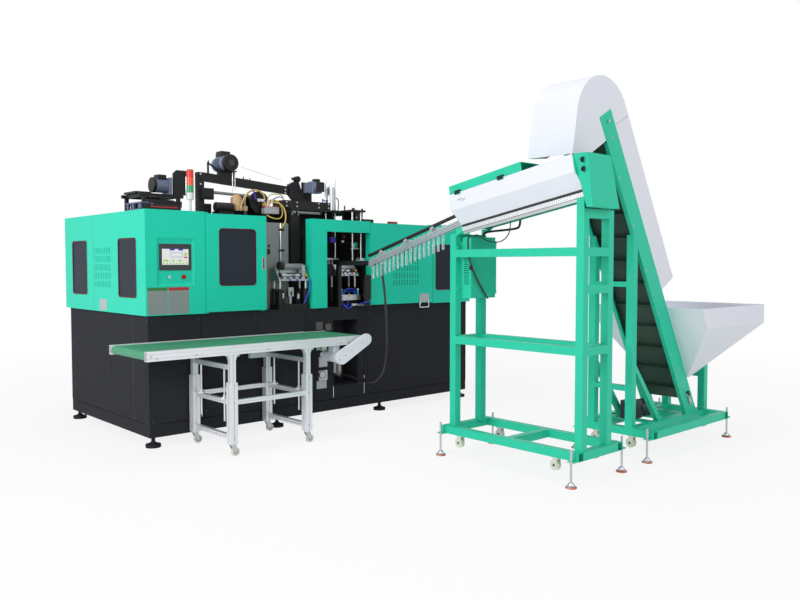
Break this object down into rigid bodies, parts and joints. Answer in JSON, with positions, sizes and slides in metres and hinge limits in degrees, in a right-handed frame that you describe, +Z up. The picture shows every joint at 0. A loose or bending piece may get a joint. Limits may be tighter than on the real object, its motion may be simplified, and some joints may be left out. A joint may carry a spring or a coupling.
{
  "type": "blow moulding machine",
  "caption": "Linear bottle blow moulding machine with green guards on a black base, an outfeed belt conveyor, and a preform loader with hopper, elevator, unscrambler and rail.",
  "frame": {"origin": "centre of the whole footprint, on the floor", "axes": "+X right along the machine's front, +Y to the machine's back, +Z up"},
  "size_m": [4.64, 4.875, 2.8719],
  "materials": {
    "green_paint": "semi-gloss",
    "black_paint": "satin",
    "white_paint": "satin",
    "aluminium_profile": "anodised",
    "machined_aluminium": "machined",
    "bright_steel": "ground",
    "zinc_steel": "zinc plated",
    "dark_window": "gloss",
    "screen_glass": "gloss",
    "silver_button": "satin",
    "red_button": "gloss",
    "signal_lens": "gloss",
    "motor_paint": "semi-gloss",
    "green_belt": "matt",
    "dark_belt": "matt",
    "black_rubber": "matt",
    "yellow_hose": "satin",
    "caster_wheel": "matt",
    "clear_preform": "gloss"
  },
  "bodies": {
    "machine": {"air_hose": "yellow_hose", "air_service_unit": "white_paint", "base_frame": "black_paint", "base_panels": "black_paint", "control_cabinet": "green_paint", "conveyor_legs": "aluminium_profile", "drive_arm": "black_paint", "drive_housing": "green_paint", "drive_motors": "motor_paint", "elevator_belt": "dark_belt", "elevator_casing": "green_paint", "elevator_frame": "green_paint", "guard_windows": "dark_window", "guide_rods": "bright_steel", "hood": "white_paint", "hopper": "white_paint", "left_guard": "green_paint", "loader_cable": "black_rubber", "loader_frame": "green_paint", "oven_frame": "black_paint", "preform_rail": "zinc_steel", "preforms": "clear_preform", "right_guard": "green_paint", "screw_feet": "zinc_steel", "side_panels": "green_paint", "signal_tower": "signal_lens", "stand_casters": "caster_wheel", "station_frame": "black_paint", "supply_hose": "black_rubber", "touch_screen": "screen_glass", "unscrambler_body": "green_paint"},
    "start_button": {"start_button": "silver_button"},
    "emergency_stop": {"emergency_stop": "red_button"},
    "front_door": {"front_door": "green_paint", "front_door_window": "dark_window"},
    "right_door": {"right_door": "green_paint"},
    "bottle_carriage": {"bottle_carriage": "machined_aluminium"},
    "preform_carriage": {"preform_carriage": "machined_aluminium"},
    "left_mould_half": {"left_mould_half": "machined_aluminium"},
    "right_mould_half": {"right_mould_half": "machined_aluminium"},
    "stretch_rods": {"stretch_rods": "bright_steel"},
    "conveyor_deck": {"conveyor_deck": "aluminium_profile", "conveyor_belt": "green_belt", "conveyor_drive": "white_paint"},
    "conveyor_tail_roller": {"conveyor_tail_roller": "zinc_steel"},
    "conveyor_drive_roller": {"conveyor_drive_roller": "zinc_steel"},
    "cabinet_door": {"cabinet_door": "green_paint"},
    "unscrambler_lid": {"unscrambler_lid": "white_paint"},
    "front_unscrambler_roller": {"front_unscrambler_roller": "zinc_steel"},
    "rear_unscrambler_roller": {"rear_unscrambler_roller": "zinc_steel"},
    "head_pulley": {"head_pulley": "zinc_steel"},
    "tail_pulley": {"tail_pulley": "zinc_steel"},
    "caster_fork_1": {"caster_fork_1": "zinc_steel"},
    "caster_fork_2": {"caster_fork_2": "zinc_steel"},
    "caster_fork_3": {"caster_fork_3": "zinc_steel"},
    "caster_fork_4": {"caster_fork_4": "zinc_steel"},
    "caster_wheel_1": {"caster_wheel_1": "caster_wheel"},
    "caster_wheel_2": {"caster_wheel_2": "caster_wheel"},
    "caster_wheel_3": {"caster_wheel_3": "caster_wheel"},
    "caster_wheel_4": {"caster_wheel_4": "caster_wheel"}
  },
  "joints": [
    {"name": "start_press", "type": "slide", "parent": "machine", "child": "start_button", "axis": [0, 1, 0], "range_m": [0, 0.004], "stiffness_N_per_m": 300},
    {"name": "emergency_stop_press", "type": "slide", "parent": "machine", "child": "emergency_stop", "axis": [0, 1, 0], "range_m": [0, 0.004], "stiffness_N_per_m": 500},
    {"name": "front_door_hinge", "type": "hinge", "parent": "machine", "child": "front_door", "pos_m": [-1.478, 0.6405, 1.5], "axis": [0, 0, 1], "range_deg": [-110, 0]},
    {"name": "right_door_hinge", "type": "hinge", "parent": "machine", "child": "right_door", "pos_m": [1.212, 0.6405, 1.5], "axis": [0, 0, 1], "range_deg": [0, 110]},
    {"name": "bottle_carriage_lift", "type": "slide", "parent": "machine", "child": "bottle_carriage", "axis": [0, 0, 1], "range_m": [0, 0.06]},
    {"name": "preform_carriage_lift", "type": "slide", "parent": "machine", "child": "preform_carriage", "axis": [0, 0, 1], "range_m": [0, 0.06]},
    {"name": "left_mould_slide", "type": "slide", "parent": "machine", "child": "left_mould_half", "axis": [1, 0, 0], "range_m": [0, 0.06]},
    {"name": "right_mould_slide", "type": "slide", "parent": "machine", "child": "right_mould_half", "axis": [-1, 0, 0], "range_m": [0, 0.06]},
    {"name": "stretch_rod_lift", "type": "slide", "parent": "machine", "child": "stretch_rods", "axis": [0, 0, 1], "range_m": [-0.2, 0.25]},
    {"name": "conveyor_height", "type": "slide", "parent": "machine", "child": "conveyor_deck", "axis": [0, 0, 1], "range_m": [-0.09, 0.09]},
    {"name": "drive_roller_spin", "type": "hinge", "parent": "conveyor_deck", "child": "conveyor_drive_roller", "pos_m": [-0.288, 0.3025, 0.8386], "axis": [0, 1, 0], "continuous": true},
    {"name": "tail_roller_spin", "type": "hinge", "parent": "conveyor_deck", "child": "conveyor_tail_roller", "pos_m": [-2.287, 0.3025, 0.8386], "axis": [0, 1, 0], "continuous": true},
    {"name": "caster_1_swivel", "type": "hinge", "parent": "machine", "child": "caster_fork_1", "pos_m": [-1.615, -0.005, 0.06], "axis": [0, 0, 1], "continuous": true},
    {"name": "caster_1_roll", "type": "hinge", "parent": "caster_fork_1", "child": "caster_wheel_1", "pos_m": [-1.591, -0.005, 0.034], "axis": [0, 1, 0], "continuous": true},
    {"name": "caster_2_swivel", "type": "hinge", "parent": "machine", "child": "caster_fork_2", "pos_m": [-0.902, -0.005, 0.06], "axis": [0, 0, 1], "continuous": true},
    {"name": "caster_2_roll", "type": "hinge", "parent": "caster_fork_2", "child": "caster_wheel_2", "pos_m": [-0.878, -0.005, 0.034], "axis": [0, 1, 0], "continuous": true},
    {"name": "caster_3_swivel", "type": "hinge", "parent": "machine", "child": "caster_fork_3", "pos_m": [-1.615, 0.61, 0.06], "axis": [0, 0, 1], "continuous": true},
    {"name": "caster_3_roll", "type": "hinge", "parent": "caster_fork_3", "child": "caster_wheel_3", "pos_m": [-1.591, 0.61, 0.034], "axis": [0, 1, 0], "continuous": true},
    {"name": "caster_4_swivel", "type": "hinge", "parent": "machine", "child": "caster_fork_4", "pos_m": [-0.902, 0.61, 0.06], "axis": [0, 0, 1], "continuous": true},
    {"name": "caster_4_roll", "type": "hinge", "parent": "caster_fork_4", "child": "caster_wheel_4", "pos_m": [-0.878, 0.61, 0.034], "axis": [0, 1, 0], "continuous": true},
    {"name": "cabinet_door_hinge", "type": "hinge", "parent": "machine", "child": "cabinet_door", "pos_m": [0.066, -1.2505, 1.48], "axis": [0, 0, 1], "range_deg": [0, 110]},
    {"name": "unscrambler_lid_hinge", "type": "hinge", "parent": "machine", "child": "unscrambler_lid", "pos_m": [-0.381, -1.657, 2.11937], "axis": [0, 0.9845, -0.1754], "range_deg": [0, 100]},
    {"name": "front_unscrambler_spin", "type": "hinge", "parent": "machine", "child": "front_unscrambler_roller", "pos_m": [-0.136, -1.6812, 1.98351], "axis": [0, 0.9845, -0.1754], "continuous": true},
    {"name": "rear_unscrambler_spin", "type": "hinge", "parent": "machine", "child": "rear_unscrambler_roller", "pos_m": [-0.044, -1.6812, 1.98351], "axis": [0, 0.9845, -0.1754], "continuous": true},
    {"name": "head_pulley_spin", "type": "hinge", "parent": "machine", "child": "head_pulley", "pos_m": [0.27233, -1.9375, 2.55008], "axis": [0, 1, 0], "continuous": true},
    {"name": "tail_pulley_spin", "type": "hinge", "parent": "machine", "child": "tail_pulley", "pos_m": [1.50857, -1.9375, 0.40018], "axis": [0, 1, 0], "continuous": true}
  ],
  "couplings": [
    {"joint": "right_mould_slide", "follows": "left_mould_slide", "ratio": 1},
    {"joint": "tail_roller_spin", "follows": "drive_roller_spin", "ratio": 1},
    {"joint": "rear_unscrambler_spin", "follows": "front_unscrambler_spin", "ratio": -1},
    {"joint": "tail_pulley_spin", "follows": "head_pulley_spin", "ratio": 1}
  ]
}
